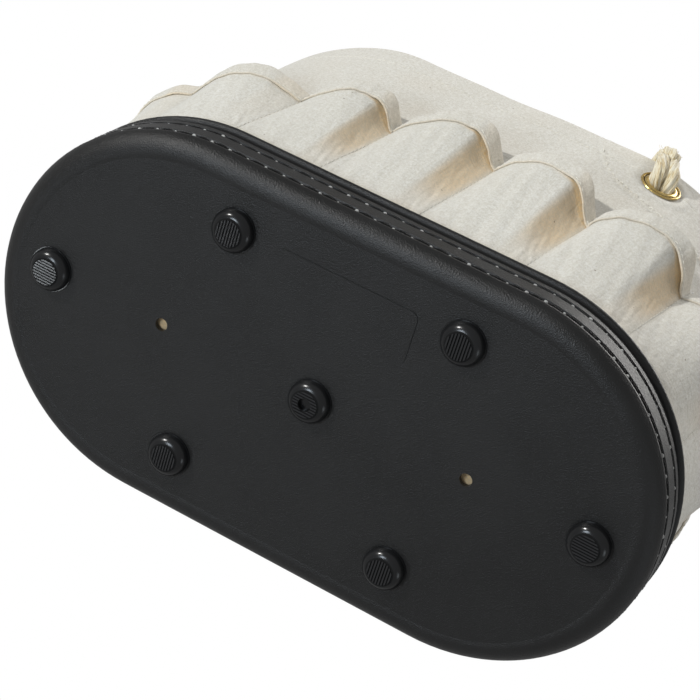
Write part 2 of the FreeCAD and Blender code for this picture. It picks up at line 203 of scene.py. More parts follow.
def make_piece(name, points, faces, material, body="root", replaces=(), maps=None):
    """A smooth mesh that rides on a body. maps holds values for each point, by attribute name."""
    mesh = bpy.data.meshes.new(name)
    mesh.from_pydata([tuple(p) for p in points], [], faces)
    mesh.polygons.foreach_set("use_smooth", [True] * len(mesh.polygons))
    for key, values in (maps or {}).items():
        values = np.asarray(values, np.float32)
        kind, field = ("FLOAT", "value") if values.ndim == 1 else ("FLOAT_VECTOR", "vector")
        mesh.attributes.new(key, kind, "POINT").data.foreach_set(field, values.ravel())
    mesh.materials.append(material)
    mesh.validate()
    piece = bpy.data.objects.new(name, mesh)
    bpy.context.scene.collection.objects.link(piece)
    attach(piece, body)
    if replaces:
        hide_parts(*replaces)
    return piece


def thicken(piece, thickness):
    """Give a single layer of cloth its thickness, half to each side."""
    solid = piece.modifiers.new("thickness", "SOLIDIFY")
    solid.thickness, solid.offset, solid.use_even_offset = thickness, 0.0, False


def lengths_along(line):
    """How far along a line each of its points is."""
    return np.concatenate([[0], np.cumsum(np.linalg.norm(np.diff(line, axis=0), axis=1))])


def at_length(line, along, wanted):
    """Values on a line, one row for each point, read at wanted lengths along it."""
    return np.stack([np.interp(wanted, along, line[:, k]) for k in range(3)], axis=-1)


def strand_grain(path, angle, radius):
    """Places on a strand as if it were straight: two across it, and the length along it."""
    length = lengths_along(path)[:, None]
    return np.stack([np.cos(angle) * radius, np.sin(angle) * radius, length + 0 * angle], -1).reshape(-1, 3)


def path_axes(path):
    """Tangents and two side directions along a path, turning as little as possible."""
    path = np.asarray(path, float)
    tangents = np.gradient(path, axis=0)
    tangents /= np.linalg.norm(tangents, axis=1)[:, None]
    side = np.cross(tangents[0], (0.0, 0.0, 1.0) if abs(tangents[0][2]) < 0.9 else (1.0, 0.0, 0.0))
    sides = []
    for tangent in tangents:
        side = side - tangent * side.dot(tangent)
        side /= np.linalg.norm(side)
        sides.append(side)
    sides = np.array(sides)
    return path, tangents, sides, np.cross(tangents, sides)


def add_skin(shapes, axes, angle, r, grain, flat=1.0):
    """Closed skin over rings of points round a path, r away from it. flat squeezes its second side."""
    path, _, one, two = axes
    count, sides = r.shape
    ring = (path[:, None] + (r * np.cos(angle))[..., None] * one[:, None]
            + (flat * r * np.sin(angle))[..., None] * two[:, None])
    faces = grid_faces(count, sides, wrap=True)
    faces += [tuple(range(sides - 1, -1, -1)), tuple(range((count - 1) * sides, count * sides))]
    shapes.add(ring.reshape(-1, 3), faces, grain)


def add_tube(shapes, path, radius, sides, lobes=0, lobe_depth=0.0, lobe_turns=0.0):
    """Closed tube along a path. radius may differ along it, and lobes twist round it."""
    axes = path_axes(path)
    count = len(path)
    radii = np.broadcast_to(np.asarray(radius, float), (count,))
    angle = np.linspace(0, TURN, sides, endpoint=False)[None, :]
    along = np.linspace(0, 1, count)[:, None]
    r = radii[:, None] * (1 + lobe_depth * np.cos(lobes * angle - TURN * lobe_turns * along))
    twist = angle - TURN * lobe_turns * along / max(lobes, 1)
    add_skin(shapes, axes, angle, r, strand_grain(axes[0], twist, radii[:, None]))


def smooth_path(points, step):
    """Even points along a smooth curve through given ones."""
    points = np.asarray(points, float)
    padded = np.vstack([2 * points[0] - points[1], points, 2 * points[-1] - points[-2]])
    fine = []
    for a, b, c, d in zip(padded, padded[1:], padded[2:], padded[3:]):
        for t in np.linspace(0, 1, 12, endpoint=False):
            fine.append(0.5 * (2 * b + (c - a) * t + (2 * a - 5 * b + 4 * c - d) * t * t
                               + (3 * b - a - 3 * c + d) * t ** 3))
    fine = np.array(fine + [points[-1]])
    return even_path(fine, step)


def even_path(line, step):
    """The same line with points evenly spaced along it."""
    along = lengths_along(line)
    wanted = np.linspace(0, along[-1], max(2, round(along[-1] / step) + 1))
    return at_length(line, along, wanted)


def add_laid_rope(shapes, path, diameter, fray, seed):
    """Three strands laid round each other along a path, each with its own twisted yarns."""
    path, _, one, two = path_axes(path)
    length = lengths_along(path)
    strand_r = 0.262 * diameter
    centre_r = diameter / 2 - strand_r
    for k in range(3):
        turn = TURN * (k / 3 + length / (ROPE_LAY * diameter))
        middle = path + centre_r * (np.cos(turn)[:, None] * one + np.sin(turn)[:, None] * two)
        swell = 1 + fray * np.array([noise.noise(Vector((s * 130.0, k * 9.0, seed))) for s in length])
        add_tube(shapes, middle, strand_r * swell, 27, lobes=9, lobe_depth=0.075,
                 lobe_turns=-9 * length[-1] / (2.6 * diameter) / 3)


def add_stitch(shapes, middle, along, normal, length, radius, sink):
    """One sewn thread: a low arch whose ends dip into the cloth."""
    path, radii = [], []
    for t in np.linspace(-1, 1, 7):
        lift = (1 - abs(t) ** 3.2) * (radius + sink) - sink
        path.append(np.asarray(middle) + np.asarray(along) * (t * length / 2) + np.asarray(normal) * lift)
        radii.append(radius * (0.75 if abs(t) > 0.9 else 1.0))
    add_tube(shapes, path, radii, sides=6)


# ---- materials ----
class Nodes:
    """Short way to build a material's node tree."""

    def __init__(self, name):
        self.material = bpy.data.materials.new(name)
        self.material.use_nodes = True
        self.tree = self.material.node_tree
        self.shader = self.tree.nodes["Principled BSDF"]

    def add(self, kind, settings=None, **inputs):
        """A node with its settings, and its inputs as numbers or as other nodes' outputs."""
        made = self.tree.nodes.new("ShaderNode" + kind)
        for key, value in (settings or {}).items():
            setattr(made, key, value)
        for key, value in inputs.items():
            self.feed(made.inputs[int(key[1:]) if key[1:].isdigit() else key.replace("_", " ")], value)
        return made

    def feed(self, socket, value):
        if isinstance(value, bpy.types.NodeSocket):
            self.tree.links.new(value, socket)
        else:
            socket.default_value = value

    def math(self, operation, a, b=0.0):
        return self.add("Math", {"operation": operation}, i0=a, i1=b).outputs[0]

    def spread(self, value, low, high, to_low=0.0, to_high=1.0):
        """Map a range of values smoothly onto another."""
        made = self.add("MapRange", {"interpolation_type": "SMOOTHSTEP"}, Value=value)
        for key, number in (("From Min", low), ("From Max", high), ("To Min", to_low), ("To Max", to_high)):
            made.inputs[key].default_value = number
        return made.outputs[0]

    def mix(self, share, a, b):
        made = self.add("Mix", {"data_type": "RGBA"})
        self.feed(made.inputs[0], share)
        self.feed(made.inputs[6], a)
        self.feed(made.inputs[7], b)
        return made.outputs[2]

    def noise(self, vector, scale, detail, rough=0.5):
        return self.add("TexNoise", Vector=vector, Scale=scale, Detail=detail, Roughness=rough).outputs[0]

    def stretched(self, vector, scale):
        return self.add("Mapping", Vector=vector, Scale=scale).outputs[0]

    def place(self):
        return self.add("TexCoord").outputs["Object"]

    def attribute(self, name, output):
        """A mesh attribute: Fac for single values, Vector for places."""
        return self.add("Attribute", {"attribute_name": name}).outputs[output]

    def bump(self, height, distance, strength, normal=None):
        made = self.add("Bump", Height=height, Distance=distance, Strength=strength)
        if normal is not None:
            self.feed(made.inputs["Normal"], normal)
        return made.outputs[0]

    def finish(self, color, roughness, normal=None, **settings):
        for key, value in (("Base Color", color), ("Roughness", roughness), ("Normal", normal)):
            if value is not None:
                self.feed(self.shader.inputs[key], value)
        for key, value in settings.items():
            self.shader.inputs[key.replace("_", " ")].default_value = value
        return self.material


WEAVE_PITCH = 0.00112
PALE_CANVAS, DEEP_CANVAS = (0.700, 0.691, 0.648), (0.632, 0.618, 0.562)


def canvas_material(name, light):
    """Unbleached cotton duck: plain weave, slubs, brown specks, and a tan tint from the mesh, which is painted
    warm shade on the pockets' flanks, under their hems and round the floor's drain holes, plain tan at the
    pockets' feet and hems, and random tone on the wall.
    """
    n = Nodes(name)
    place = n.place()
    cloth = n.attribute("cloth", "Vector")
    tint_and_painted_shade = n.attribute("tint_and_painted_shade", "Fac")
    split = n.add("SeparateXYZ", Vector=cloth)
    across, up = split.outputs[0], split.outputs[1]
    per_metre = TURN / WEAVE_PITCH
    warp = n.math("SINE", n.math("MULTIPLY", across, per_metre))
    weft = n.math("SINE", n.math("MULTIPLY", up, per_metre))
    weave = n.math("MULTIPLY", warp, weft)
    slub_up = n.noise(n.stretched(cloth, (900, 45, 1)), 1.0, 2)
    slub_across = n.noise(n.stretched(cloth, (45, 900, 1)), 1.0, 2)
    slub = n.math("ADD", slub_up, slub_across)
    pale, deep = ([light * c for c in color] + [1] for color in (PALE_CANVAS, DEEP_CANVAS))
    cream = n.mix(n.noise(place, 26, 3), pale, deep)
    cream = n.mix(n.spread(slub, 1.05, 1.35, 0, 0.35), cream, (0.80, 0.78, 0.71, 1))
    # Painted warm shade: the cloth turns tan where the mesh asks for it, on shaded pocket flanks, under hem
    # edges and round the drain holes; on the wall the same mix gives random tan blotches.
    cream = n.mix(n.math("MULTIPLY", tint_and_painted_shade, 0.9), cream, (0.66, 0.45, 0.205, 1))
    mottle = n.math("ADD", n.noise(place, 620, 3, 0.7), n.math("MULTIPLY", n.noise(place, 1700, 1), 0.6))
    cream = n.mix(n.spread(mottle, 0.62, 1.02, 0.5, 0.0), cream, (0.44, 0.40, 0.31, 1))
    flecks = n.add("TexVoronoi", {"feature": "F1"}, Vector=place, Scale=105.0)
    chance = n.add("SeparateColor", Color=flecks.outputs["Color"])
    is_fleck = n.math("MULTIPLY", n.spread(flecks.outputs["Distance"], 0.085, 0.03),
                      n.spread(chance.outputs[0], 0.66, 0.67))
    color = n.mix(n.math("MULTIPLY", is_fleck, 0.75), cream, (0.13, 0.085, 0.04, 1))
    height = n.math("ADD", n.math("MULTIPLY", weave, 0.16), n.math("MULTIPLY", slub, 0.75))
    fine = n.bump(height, 0.00034, 1.0)
    soft = n.bump(n.noise(place, 210, 4, 0.6), 0.0010, 0.75, fine)
    return n.finish(color, 0.93, soft, Sheen_Weight=0.25, Sheen_Roughness=0.6, Specular_IOR_Level=0.15)


def plastic_material(name, color, rough, grain, depth, bands):
    """Moulded black plastic with a pebbled skin. Each band is a stretch of height with its own
    tone and dullness: (low, high, blur, tone, dullness). A band's tone is painted shade, darker in a
    recess, or a painted highlight, lighter on a face."""
    n = Nodes(name)
    place = n.place()
    pebble = n.add("TexVoronoi", {"feature": "SMOOTH_F1"}, Vector=place, Scale=grain,
                   Smoothness=0.5).outputs[0]
    sand = n.noise(place, grain * 1.7, 3, 0.6)
    patch = n.noise(place, 14, 4, 0.6)
    tone = n.mix(n.spread(patch, 0.35, 0.7), color, tuple(1.35 * c for c in color[:3]) + (1,))
    uneven = n.math("ADD", patch, n.math("MULTIPLY", sand, 0.35))
    roughness = n.spread(uneven, 0.4, 1.0, rough - 0.04, rough + 0.07)
    height = n.add("SeparateXYZ", Vector=place).outputs[2]
    for low, high, blur, level, dullness in bands:
        within = n.math("MULTIPLY", n.spread(height, low - blur, low),
                        n.spread(height, high + blur, high))
        tone = n.mix(within, tone, (level, level, 1.05 * level, 1))
        roughness = n.math("MAXIMUM", roughness, n.math("MULTIPLY", within, dullness))
    normal = n.bump(n.math("ADD", pebble, sand), depth, 0.8)
    return n.finish(tone, roughness, normal, Specular_IOR_Level=0.34)


def thread_material(name, light, dark, rough, sheen=0.1, shine=0.5):
    """Sewing thread with its twist."""
    n = Nodes(name)
    place = n.place()
    twist = n.noise(n.stretched(place, (1, 1, 1.4)), 2600, 1)
    tone = n.mix(n.spread(twist, 0.3, 0.7), dark, light)
    return n.finish(tone, rough, n.bump(twist, 0.0002, 0.7), Sheen_Weight=sheen,
                    Specular_IOR_Level=shine)


def brass_material():
    """Polished rolled brass, a little uneven, with painted shade darkening it in its recess."""
    n = Nodes("polished_brass")
    place = n.place()
    blotch = n.noise(place, 420, 3)
    tint_and_painted_shade = n.attribute("tint_and_painted_shade", "Fac")
    tone = n.mix(n.spread(blotch, 0.35, 0.7), (0.78, 0.60, 0.26, 1), (0.62, 0.44, 0.15, 1))
    # Painted shade: near-black in the grommet's groove, where the mesh marks it.
    tone = n.mix(tint_and_painted_shade, tone, (0.10, 0.055, 0.015, 1))
    rough = n.spread(blotch, 0.3, 0.75, 0.14, 0.30)
    return n.finish(tone, rough, n.bump(n.noise(place, 900, 2), 0.0001, 0.3), Metallic=1.0)


def rope_material():
    """Laid rope of cream and golden fibres."""
    n = Nodes("laid_rope")
    grain = n.attribute("grain", "Vector")
    fibres = n.noise(n.stretched(grain, (1, 1, 0.10)), 2100, 4, 0.7)
    patches = n.noise(n.stretched(grain, (1, 1, 0.4)), 300, 2)
    tone = n.mix(n.spread(fibres, 0.36, 0.60), (0.46, 0.31, 0.095, 1), (0.86, 0.80, 0.61, 1))
    tone = n.mix(n.spread(patches, 0.42, 0.66, 0, 0.6), tone, (0.88, 0.855, 0.74, 1))
    return n.finish(tone, 0.62, n.bump(fibres, 0.0007, 0.9), Sheen_Weight=0.3, Specular_IOR_Level=0.35)


# The wall's canvas, also used for the floor cloth, is painted about 6% lighter than the pockets' to stand in
# for the stronger light falling on the wall; it is the same cloth.
WALL_CANVAS = canvas_material("wall_canvas", 1.07)
POCKET_CANVAS = canvas_material("pocket_canvas", 1.01)
# Painted shade: the channel under the pan's bead is painted darker, and made duller.
CHANNEL_SHADE_BAND = (0.0390, 0.0470, 0.0006, 0.0016, 0.7)         # under the pan's bead
# Painted shade in the feet's tread grooves: darker, and dull.
TREAD_GROOVE_SHADE_BAND = (0.0004, 0.0008, 0.0001, 0.0010, 0.95)
# Painted highlight on the feet's tread faces: lighter than the rest of the foot.
TREAD_FACE_HIGHLIGHT_BAND = (-0.001, 0.0001, 0.0002, 0.015, 0.0)
PAN_PLASTIC = plastic_material("pebbled_plastic", (0.0060, 0.0060, 0.0059, 1), 0.36, 1250.0,
                               0.00022, [CHANNEL_SHADE_BAND])
FOOT_PLASTIC = plastic_material("foot_plastic", (0.0056, 0.0058, 0.0062, 1), 0.20, 1700.0,
                                0.000012, [TREAD_GROOVE_SHADE_BAND, TREAD_FACE_HIGHLIGHT_BAND])
BLACK_THREAD = thread_material("black_thread", (0.0030, 0.0030, 0.0032, 1),
                               (0.0010, 0.0010, 0.0010, 1), 0.55, 0.0, 0.12)
# Pale thread for a knot at each stitch hole of the pan: a painted glint, pale under any light.
PALE_GLINT_THREAD = thread_material("pale_glint_thread", (0.52, 0.52, 0.50, 1), (0.20, 0.20, 0.20, 1), 0.35)
CREAM_THREAD = thread_material("cream_thread", (0.80, 0.78, 0.71, 1), (0.66, 0.63, 0.54, 1), 0.8)
WHITE_THREAD = thread_material("white_thread", (0.88, 0.87, 0.84, 1), (0.62, 0.60, 0.56, 1), 0.7)
BRASS = brass_material()
ROPE = rope_material()


# ---- camera and light ----
CAMERA_PLACE = (0.36299, -0.62014, -1.06081)
CAMERA_FORWARD = (-0.27635, 0.45754, 0.84515)
CAMERA_UP = (-0.42994, -0.84535, 0.31707)
CAMERA_LENS, SENSOR = 114.53, 36.0      # millimetres
KEY_FROM = (-0.63, -0.62, -0.47)


def make_camera():
    forward = Vector(CAMERA_FORWARD).normalized()
    right = forward.cross(Vector(CAMERA_UP)).normalized()
    up = right.cross(forward)
    turn = Matrix((right, up, -forward)).transposed()
    data = bpy.data.cameras.new("photo_camera")
    data.lens, data.sensor_width, data.clip_start, data.clip_end = CAMERA_LENS, SENSOR, 0.05, 50.0
    camera = bpy.data.objects.new("photo_camera", data)
    camera.matrix_world = Matrix.Translation(CAMERA_PLACE) @ turn.to_4x4()
    bpy.context.scene.collection.objects.link(camera)
    bpy.context.scene.camera = camera


def lamp(name, kind, towards, strength, color, distance=1.4, size=0.6, angle=3.0):
    """A sun, or a square softbox that faces the bucket's middle, seen in direction towards."""
    data = bpy.data.lights.new(name, kind)
    data.energy, data.color = strength, color
    if kind == "SUN":
        data.angle = math.radians(angle)
    else:
        data.shape, data.size = "SQUARE", size
    light = bpy.data.objects.new(name, data)
    away = Vector(towards).normalized()
    light.location = Vector((0, 0, 0.12)) + away * distance
    light.rotation_mode = "QUATERNION"
    light.rotation_quaternion = (-away).to_track_quat("-Z", "Y")
    bpy.context.scene.collection.objects.link(light)


def make_light():
    """Soft studio light, and a world that is white where the camera sees it."""
    lamp("key", "SUN", KEY_FROM, 2.02, (1.0, 0.99, 0.965), angle=1.8)
    lamp("edge_softbox", "AREA", (-0.276, -0.330, -0.91), 8.5, (0.80, 0.90, 1.0), 1.5, 0.40)
    lamp("side_softbox", "AREA", (0.85, 0.25, -0.45), 1.2, (0.85, 0.93, 1.0), 1.5, 0.4)
    lamp("top_softbox", "AREA", (0.35, -0.35, 0.87), 13.0, (1.0, 0.98, 0.95), 1.5, 0.9)
    lamp("tread_softbox", "AREA", (-0.479, 0.408, -0.777), 1.2, (0.90, 0.96, 1.0), 1.5, 0.14)
    world = bpy.data.worlds.new("studio")
    bpy.context.scene.world = world
    world.use_nodes = True
    tree = world.node_tree
    background = tree.nodes["Background"]
    rays = tree.nodes.new("ShaderNodeLightPath")
    strength = tree.nodes.new("ShaderNodeMapRange")
    strength.inputs["To Min"].default_value, strength.inputs["To Max"].default_value = 0.40, 1.0
    tree.links.new(rays.outputs["Is Camera Ray"], strength.inputs["Value"])
    tree.links.new(strength.outputs[0], background.inputs["Strength"])
    background.inputs["Color"].default_value = (1.0, 1.0, 1.0, 1)
    bpy.context.scene.view_settings.view_transform = "Standard"


def make_floor():
    """Pale floor under the feet, seen only from above, so that it doesn't hide the underside."""
    n = Nodes("pale_floor")
    tone = n.mix(n.noise(n.place(), 3, 3), (0.80, 0.80, 0.79, 1), (0.86, 0.86, 0.85, 1))
    n.finish(tone, 0.7)
    clear = n.add("BsdfTransparent").outputs[0]
    side = n.add("NewGeometry").outputs["Backfacing"]
    both = n.add("MixShader", i0=side, i1=n.shader.outputs[0], i2=clear)
    n.tree.links.new(both.outputs[0], n.tree.nodes["Material Output"].inputs["Surface"])
    reach = 3.0
    corners = [(-reach, -reach, 0), (reach, -reach, 0), (reach, reach, 0), (-reach, reach, 0)]
    mesh = bpy.data.meshes.new("floor")
    mesh.from_pydata(corners, [], [(0, 1, 2, 3)])
    mesh.materials.append(n.material)
    floor = bpy.data.objects.new("floor", mesh)
    bpy.context.scene.collection.objects.link(floor)
    floor.visible_shadow = floor.visible_diffuse = floor.visible_glossy = False


# ---- rope ----
def handle_line():
    """The handle's centreline, read from the route's own spline."""
    front = Vector(frame["joints"][0]["pos_m"])
    along = Vector((-front.x, -front.y, 0))
    across = along.cross(Vector((0, 0, 1))).normalized()
    level = Vector((0, 0, front.z))
    data = bpy.data.curves.new("handle_route", "CURVE")
    data.dimensions, data.resolution_u = "3D", 24
    spline = data.splines.new("NURBS")
    spline.points.add(len(HANDLE_ROUTE) - 1)
    for point, (a, b, c) in zip(spline.points, HANDLE_ROUTE):
        point.co = (*(level + along * a + across * b + Vector((0, 0, c))), 1.0)
    spline.order_u = 3
    spline.use_endpoint_u = True
    route = bpy.data.objects.new("handle_route", data)
    mesh = bpy.data.meshes.new_from_object(route)
    line = np.array([v.co for v in mesh.vertices])
    bpy.data.meshes.remove(mesh)
    bpy.data.objects.remove(route)
    return line


def make_rope(name, shapes, body="root", replaces=()):
    """A piece of rope, with the grain that its material follows."""
    return make_piece(name, shapes.points, shapes.faces, ROPE, body, replaces,
                      {"grain": shapes.grain})


def make_handle():
    """The three-strand rope that hangs between the throats."""
    line = handle_line()
    path = even_path(line, 0.0009)
    shapes = Shapes()
    add_laid_rope(shapes, path, ROPE_D, fray=0.05, seed=3)
    piece = make_rope("handle_rope", shapes, "handle", ["rope_handle"])


def wall_axes(share, z):
    """Middle of the hem at a place on the wall, with axes across, out and up, leaning with the wall."""
    step = 0.005
    face, normal = flat_wall(share, z)
    high, low = flat_wall(share, z + step)[0], flat_wall(share, z - step)[0]
    across = np.cross((0, 0, 1.0), normal)
    up = high - low
    up -= across * up.dot(across)
    up /= np.linalg.norm(up)
    out = np.cross(across, up)
    return face, across, out, up


def eye_axes(share):
    """Middle of the hem at a grommet, with axes across, out and along the leaning eye."""
    face, across, out, up = wall_axes(share, GROMMET_Z)
    middle = face - out * (HEM_T / 2)
    leaning = across * math.cos(EYE_LEAN) + up * math.sin(EYE_LEAN)
    along = up * math.cos(EYE_LEAN) - across * math.sin(EYE_LEAN)
    return middle, leaning, out, along


EYE_SWAY = -0.045     # how far an eye leans further over, as a share of its rise
# An eye's strand in its own axes: out, along, and how far each strand lies from the eye's middle.
# It runs from inside the hole, out, over the rim and back down.
EYE_ROUTE = (
    (-0.0060, 0.0015, 0.0040), (0.0000, -0.0002, 0.0043), (0.0062, 0.0014, 0.0046),
    (0.0100, 0.0060, 0.0043), (0.0116, 0.0133, 0.0036), (0.0117, 0.0212, 0.0031),
    (0.0100, 0.0284, 0.0029), (0.0060, 0.0328, 0.0029), (0.0004, 0.0337, 0.0031),
    (-0.0052, 0.0304, 0.0036), (-0.0078, 0.0240, 0.0040), (-0.0082, 0.0150, 0.0040),
    (-0.0072, 0.0070, 0.0039),
)
# A strand's radius at shares of the way along it.
EYE_RADII = (0, 0.08, 0.22, 0.42, 0.7, 1), (0.0036, 0.0042, 0.0044, 0.0036, 0.0037, 0.0040)
# The tucked strands over the eye: out, along and across, and their radius.
CAP_ROUTE = (
    (0.0108, 0.0214, 0.0004), (0.0124, 0.0232, 0.0), (0.0120, 0.0270, -0.0010),
    (0.0092, 0.0306, -0.0018), (0.0048, 0.0328, -0.0022), (0.0, 0.0324, -0.0018),
)
CAP_RADII = (0, 0.03, 0.10, 0.4, 0.7, 1), (0.0030, 0.0052, 0.0061, 0.0063, 0.0055, 0.0040)
HAIRS = 12


def add_bundle(shapes, path, radius, turns, seed, flat=1.0):
    """A thick bunch of nearly parallel yarns along a path."""
    along = np.linspace(0, 1, len(path))[:, None]
    angle = np.linspace(0, TURN, BUNDLE_SIDES, endpoint=False)[None, :] + 0 * along
    twist = angle - TURN * turns * along
    thick_yarns = 0.10 * np.cos(7 * twist + 0.9 * np.sin(2 * twist))
    yarns = thick_yarns + 0.045 * np.cos(19 * twist + 2 * np.sin(5 * along))
    lumps = np.stack([np.cos(twist) * 1.6, np.sin(twist) * 1.6, along * 3.0 + seed + 0 * angle], -1)
    radius = np.asarray(radius)[:, None]
    r = radius * (1 + yarns + 0.10 * ripple(lumps, 1.0, seed))
    add_skin(shapes, path_axes(path), angle, r, strand_grain(path, twist, radius), flat)


def make_eye(side, share):
    """The rope's eye: two strands side by side through the grommet, over the rim and down inside."""
    middle, across, out, along = eye_axes(share)
    shapes = Shapes()
    for s in (-1, 1):
        route = [middle + out * a + along * b + across * (s * spread + EYE_SWAY * b)
                 for a, b, spread in EYE_ROUTE]
        path = smooth_path(route, 0.0007)
        radius = np.interp(np.linspace(0, 1, len(path)), *EYE_RADII)
        add_bundle(shapes, path, radius, turns=0.9 * s, seed=5 + s)
    make_rope(f"rope_eye_strands_{side}", shapes, "root", [f"rope_eye_{side}"])


def make_cap(side, share):
    """The tucked strands that lap over the eye on its way over the rim."""
    middle, across, out, along = eye_axes(share)
    shapes = Shapes()
    path = smooth_path([middle + out * a + along * b + across * c for a, b, c in CAP_ROUTE], 0.0006)
    radius = np.interp(np.linspace(0, 1, len(path)), *CAP_RADII)
    add_bundle(shapes, path, radius, turns=0.35, seed=2, flat=0.92)
    draw = random.Random(44)
    for _ in range(HAIRS):
        k = draw.randrange(4, len(path) - 4)
        start = path[k] + across * draw.uniform(-0.005, 0.005) + out * 0.002
        lean = across * draw.uniform(-1, 1) + out * draw.uniform(0.2, 1.0) + along * draw.uniform(-0.4, 0.9)
        hair = [start, start + lean * 0.0035, start + lean * 0.0055 + across * draw.uniform(-0.002, 0.002)]
        add_tube(shapes, smooth_path(hair, 0.0008), 0.00011, 5)
    make_rope(f"rope_tuck_{side}", shapes)


def make_knob(side, share):
    """The splice at a throat: strands wound tightly round each other into a ball."""
    low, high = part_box(f"rope_splice_{side}")
    centre = (np.array(low) + np.array(high)) / 2
    radius = float(high.z - low.z) / 2
    _, across, _, _ = eye_axes(share)
    axis = np.array((0.0, 0.0, 1.0))
    one = across - axis * across.dot(axis)
    one /= np.linalg.norm(one)
    two = np.cross(axis, one)
    shapes = Shapes()
    for k in range(3):
        path = []
        for t in np.linspace(0, 1, 90):
            high_angle = (t - 0.5) * math.pi * 0.94
            turn = TURN * (k / 3 + 1.15 * t)
            ring = (radius - 0.0026) * math.cos(high_angle)
            path.append(centre + axis * ((radius - 0.0024) * math.sin(high_angle))
                        + (one * math.cos(turn) + two * math.sin(turn)) * max(ring, 0.0012))
        add_tube(shapes, path, 0.0030, 24, lobes=8, lobe_depth=0.08, lobe_turns=7)
    make_rope(f"rope_knob_{side}", shapes, "handle", [f"rope_splice_{side}"])


# ---- grommets ----
LATHE_STEPS = 96
CORNER_CUT, CORNER_STEPS = 0.32, 5      # share of each side that a corner takes, and its points


def lathe(profile, origin, axis, one):
    """Closed ring turned round an axis from (radius, height) points."""
    two = np.cross(axis, one)
    points = []
    for k in range(LATHE_STEPS):
        angle = TURN * k / LATHE_STEPS
        side = one * math.cos(angle) + two * math.sin(angle)
        points += [origin + side * r + axis * h for r, h in profile]
    count = len(profile)
    faces = []
    for k in range(LATHE_STEPS):
        a, b = k * count, (k + 1) % LATHE_STEPS * count
        faces += [(a + i, a + (i + 1) % count, b + (i + 1) % count, b + i) for i in range(count)]
    return points, faces


def rounded(corners):
    """A closed profile with each corner cut into a small curve."""
    done = []
    count = len(corners)
    for i, corner in enumerate(corners):
        before, here = np.array(corners[i - 1]), np.array(corner)
        after = np.array(corners[(i + 1) % count])
        a, b = here + (before - here) * CORNER_CUT, here + (after - here) * CORNER_CUT
        for t in np.linspace(0, 1, CORNER_STEPS):
            done.append(a * (1 - t) ** 2 + here * 2 * t * (1 - t) + b * t ** 2)
    return [tuple(p) for p in done]


def make_grommet(side, share):
    """Brass grommet with a rolled lip, a groove and a raised outer ring, and its washer inside."""
    face, across, out, up = wall_axes(share, GROMMET_Z)
    origin = face + out * bow(share, GROMMET_Z)
    r, flange = GROMMET_HOLE_R, 0.0141
    groove = flange - 0.0023
    outer = [
        (r + 0.0002, -0.0030), (r, 0.0003), (r + 0.0007, 0.0013), (r + 0.0020, 0.0014),
        (flange - 0.0028, 0.0009), (groove, 0.0002), (flange - 0.0018, 0.0009),
        (flange - 0.0008, 0.0012), (flange, 0.0001),
        (r + 0.0030, -0.0001), (r + 0.0012, -0.0005), (r + 0.0009, -0.0030),
    ]
    profile = rounded(outer)
    points, faces = lathe(profile, origin, out, across)
    # Painted shade: the ring of the profile in the groove is marked for the brass to paint near-black there.
    dark = [1.0 if abs(q - groove) < 0.0004 and h > 0 else 0.0 for q, h in profile] * LATHE_STEPS
    make_piece(f"brass_grommet_{side}", points, faces, BRASS, "root",
               [f"grommet_{side}"], {"tint_and_painted_shade": dark})
    back = -HEM_T
    inner = [
        (r + 0.0010, back + 0.0002), (r + 0.0002, back - 0.0012), (r + 0.0016, back - 0.0024),
        (r + 0.0034, back - 0.0012), (0.0118, back - 0.0011), (0.0133, back - 0.0007), (0.0134, back + 0.0002),
    ]
    points, faces = lathe(rounded(inner), origin, out, across)
    make_piece(f"brass_washer_{side}", points, faces, BRASS, "root", [f"grommet_washer_{side}"],
               {"tint_and_painted_shade": np.zeros(len(points))})


GROMMETS = (("front", GROMMET_SHARE), ("back", GROMMET_SHARE + 0.5))


# ---- canvas wall ----
WALL_ROUND = 1.096      # metres round the wall at the patch
PANEL_COLUMNS = 361
PATCH_LEVEL, PATCH_RISE, PATCH_START, PATCH_FALL = 0.1945, 0.0468, 0.0514, 0.0205
HEM_STITCH_Z = RIM_Z - HEM_DEPTH + 0.0035


def patch_edge(share):
    """Height of the edge of the patch that is sewn behind each grommet."""
    from_start = np.clip(np.mod(share + 0.25, 0.5) - 0.25, -0.25, 0.25)
    return PATCH_LEVEL + PATCH_RISE * np.exp(-(from_start - PATCH_START) / PATCH_FALL)


def wall_relief(share, z):
    """Small relief of the outer face: patch edge, hem stitching and the dent under each grommet."""
    share, z = np.asarray(share, float), np.asarray(z, float)
    around = share * WALL_ROUND
    place = np.mod(share + 0.25, 0.5) - 0.25
    over = z - patch_edge(share)
    steep = np.clip((patch_edge(share) - PATCH_LEVEL) / (PATCH_FALL * WALL_ROUND), 0, 4)
    over = over / np.sqrt(1 + steep ** 2)
    there = ease(place, 0.040, 0.052) * (1 - ease(place, 0.150, 0.175))
    lumps = 0.65 + 0.35 * np.sin(TURN * (around + z) / 0.0052)
    ridge = peak(over, 0, 0.0011) * 0.00125 * lumps - peak(over, -0.0024, 0.0012) * 0.0004
    second = peak(over, 0.0065, 0.0010) * 0.00035
    patch = there * (ridge + second + 0.0004 * ease(over, -0.001, 0.002))
    hem = -0.0005 * peak(z, HEM_STITCH_Z, 0.0009)
    hem = hem + 0.00025 * ease(z, HEM_STITCH_Z - 0.004, HEM_STITCH_Z)
    from_grommet = np.hypot((place - GROMMET_SHARE) * WALL_ROUND, z - GROMMET_Z)
    dent = -0.0007 * (1 - ease(from_grommet, 0.012, 0.017))
    return patch + hem + (dent + 0.0007 * peak(from_grommet, 0.019, 0.003))


